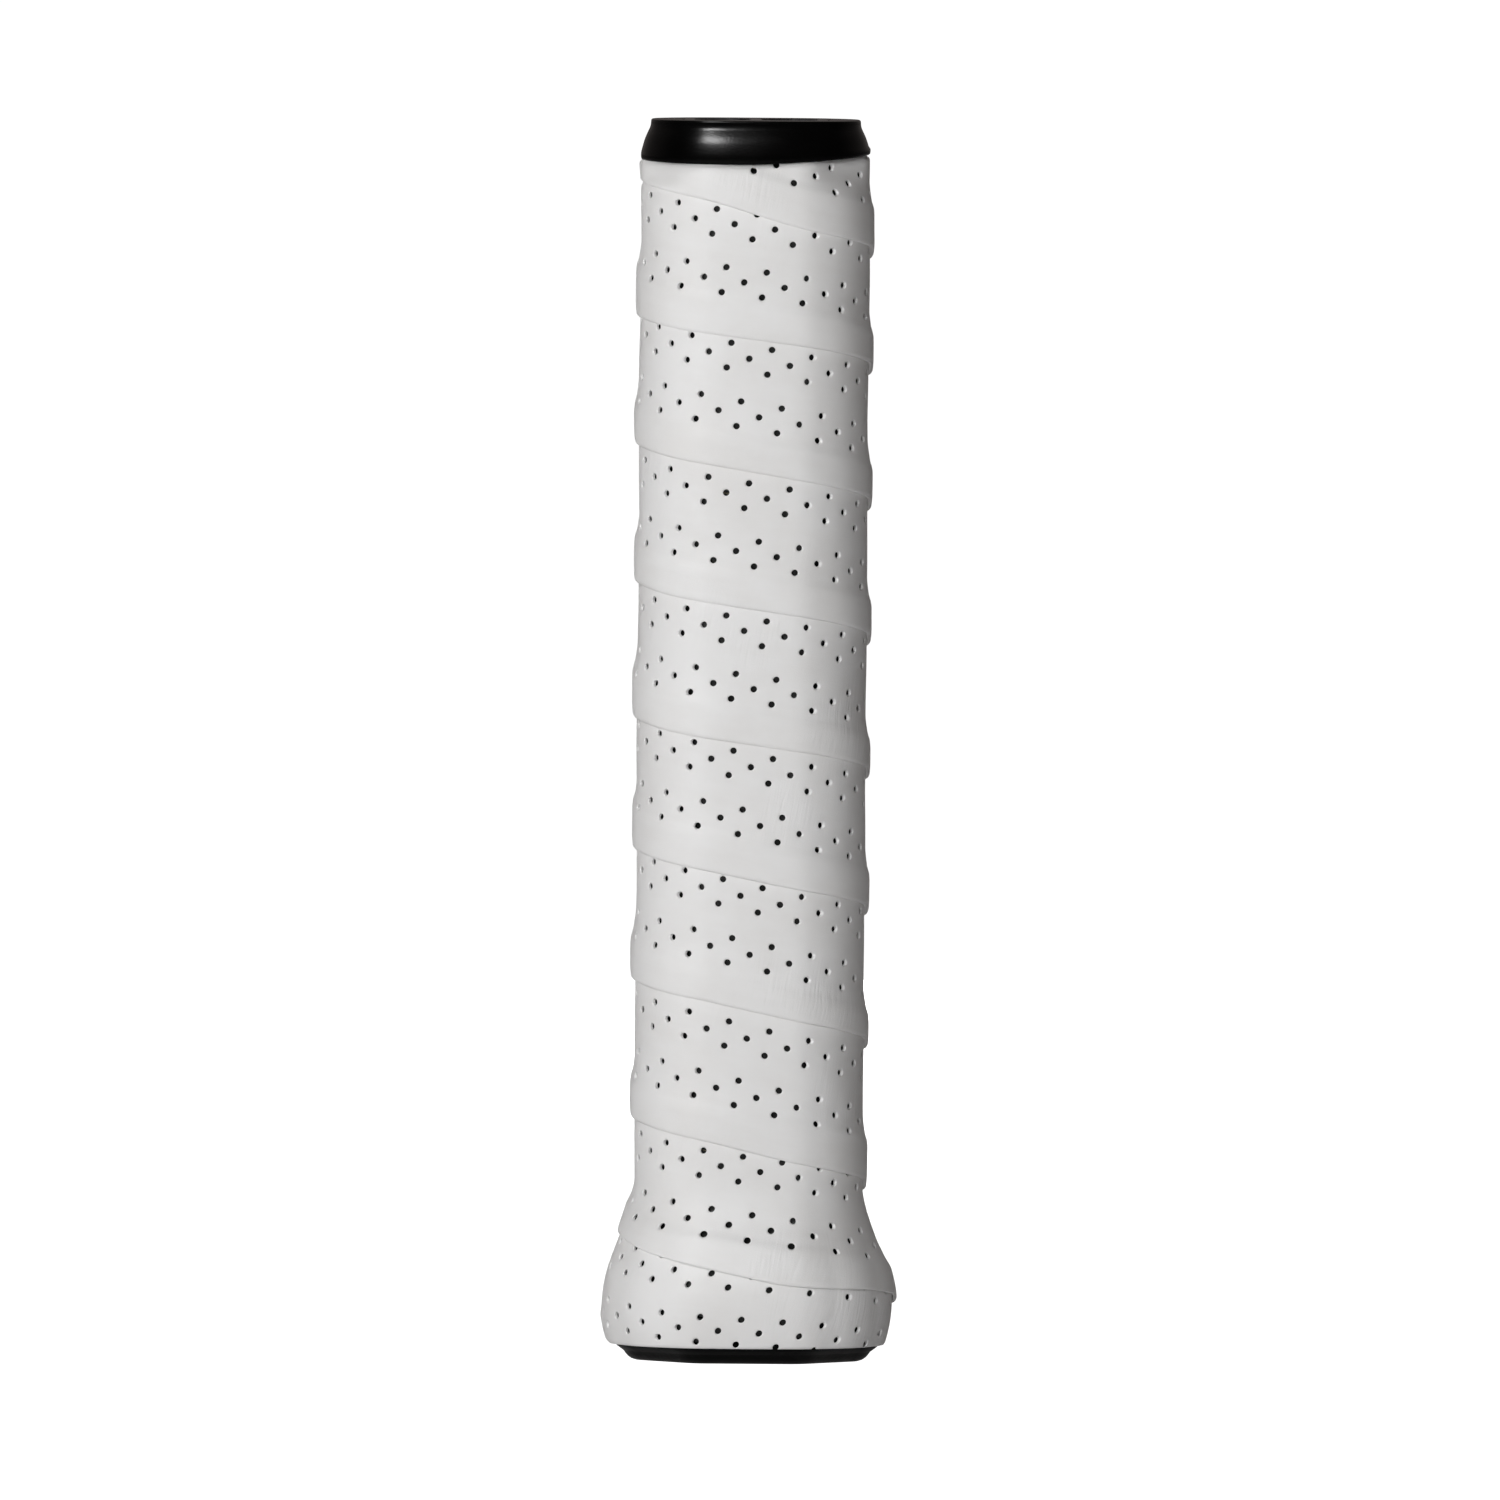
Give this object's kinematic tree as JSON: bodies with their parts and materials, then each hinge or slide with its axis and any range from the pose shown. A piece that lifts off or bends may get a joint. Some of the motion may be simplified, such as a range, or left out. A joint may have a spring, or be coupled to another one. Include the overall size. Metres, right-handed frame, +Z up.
{
  "type": "wrapped racket handle",
  "caption": "Octagonal racket handle with a flared butt, wrapped in a spiral perforated overgrip held by a rubber collar at the top.",
  "frame": {"origin": "centre of the butt cap's flat bottom, on the handle's axis", "axes": "+Z up the handle towards the racket's throat, X across the two wide faces, the front wide face looks along -Y"},
  "size_m": [0.0445, 0.041, 0.187],
  "materials": {
    "carbon": "clear-coated woven carbon laminate, black",
    "pallet_foam": "rigid polyurethane foam with a fine open skin, tan",
    "cap_nylon": "injection-moulded nylon, satin black",
    "door_nylon": "injection-moulded nylon, fine grain, black",
    "staple_steel": "zinc-plated steel wire",
    "base_grip_cushion": "synthetic leather cushion grip, matt black",
    "overgrip_felt": "soft white polyurethane felt, dry matt surface with small punched holes",
    "finishing_vinyl": "thin black vinyl adhesive tape",
    "collar_rubber": "moulded rubber, glossy black"
  },
  "bodies": {
    "handle": {"shaft": "carbon", "pallet_front": "pallet_foam", "pallet_back": "pallet_foam", "butt_cap": "cap_nylon", "butt_staple_front": "staple_steel", "butt_staple_back": "staple_steel", "base_grip": "base_grip_cushion", "overgrip": "overgrip_felt", "finishing_tape": "finishing_vinyl"},
    "collar": {"collar": "collar_rubber"},
    "trap_door": {"trap_door": "door_nylon"}
  },
  "joints": [
    {"name": "collar_slide", "type": "slide", "parent": "handle", "child": "collar", "axis": [0, 0, 1], "range_m": [0, 0.012]},
    {"name": "trap_door_slide", "type": "slide", "parent": "handle", "child": "trap_door", "axis": [0, 0, -1], "range_m": [0, 0.012]}
  ]
}
